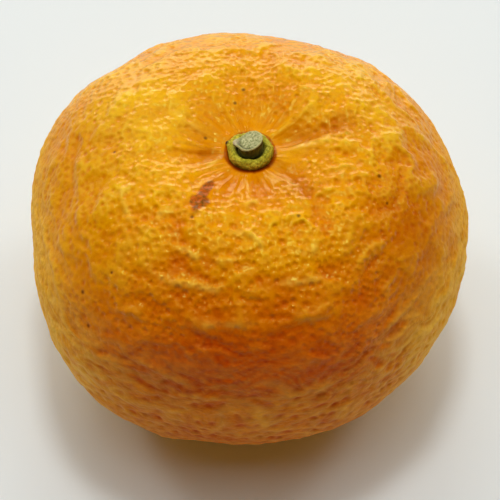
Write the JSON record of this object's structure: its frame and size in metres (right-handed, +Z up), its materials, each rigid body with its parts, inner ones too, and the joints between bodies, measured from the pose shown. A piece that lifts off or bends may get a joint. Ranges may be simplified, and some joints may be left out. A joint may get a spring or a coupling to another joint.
{
  "type": "yuzu fruit",
  "caption": "Squat, uneven yuzu citrus fruit with bumpy yellow-orange rind, a green calyx in the hollow at its top and a cut stem stub, standing on a small flat spot",
  "frame": {"origin": "on the surface that the fruit stands on, under the middle of its outline", "axes": "+Z up through the stem, +X to the right and +Y away from the viewer of the picture"},
  "size_m": [0.0672, 0.0668, 0.0489],
  "materials": {
    "rind": "waxy yellow-orange citrus rind, pitted all over with small darker oil glands, puckered and softly glossy",
    "calyx": "rough yellow-green calyx, darker in its creases",
    "stem": "dull grey-green stem stub with a pale, rough cut and a dark side"
  },
  "bodies": {
    "root": {"fruit": "rind", "calyx": "calyx", "stem_stub": "stem"}
  },
  "joints": []
}
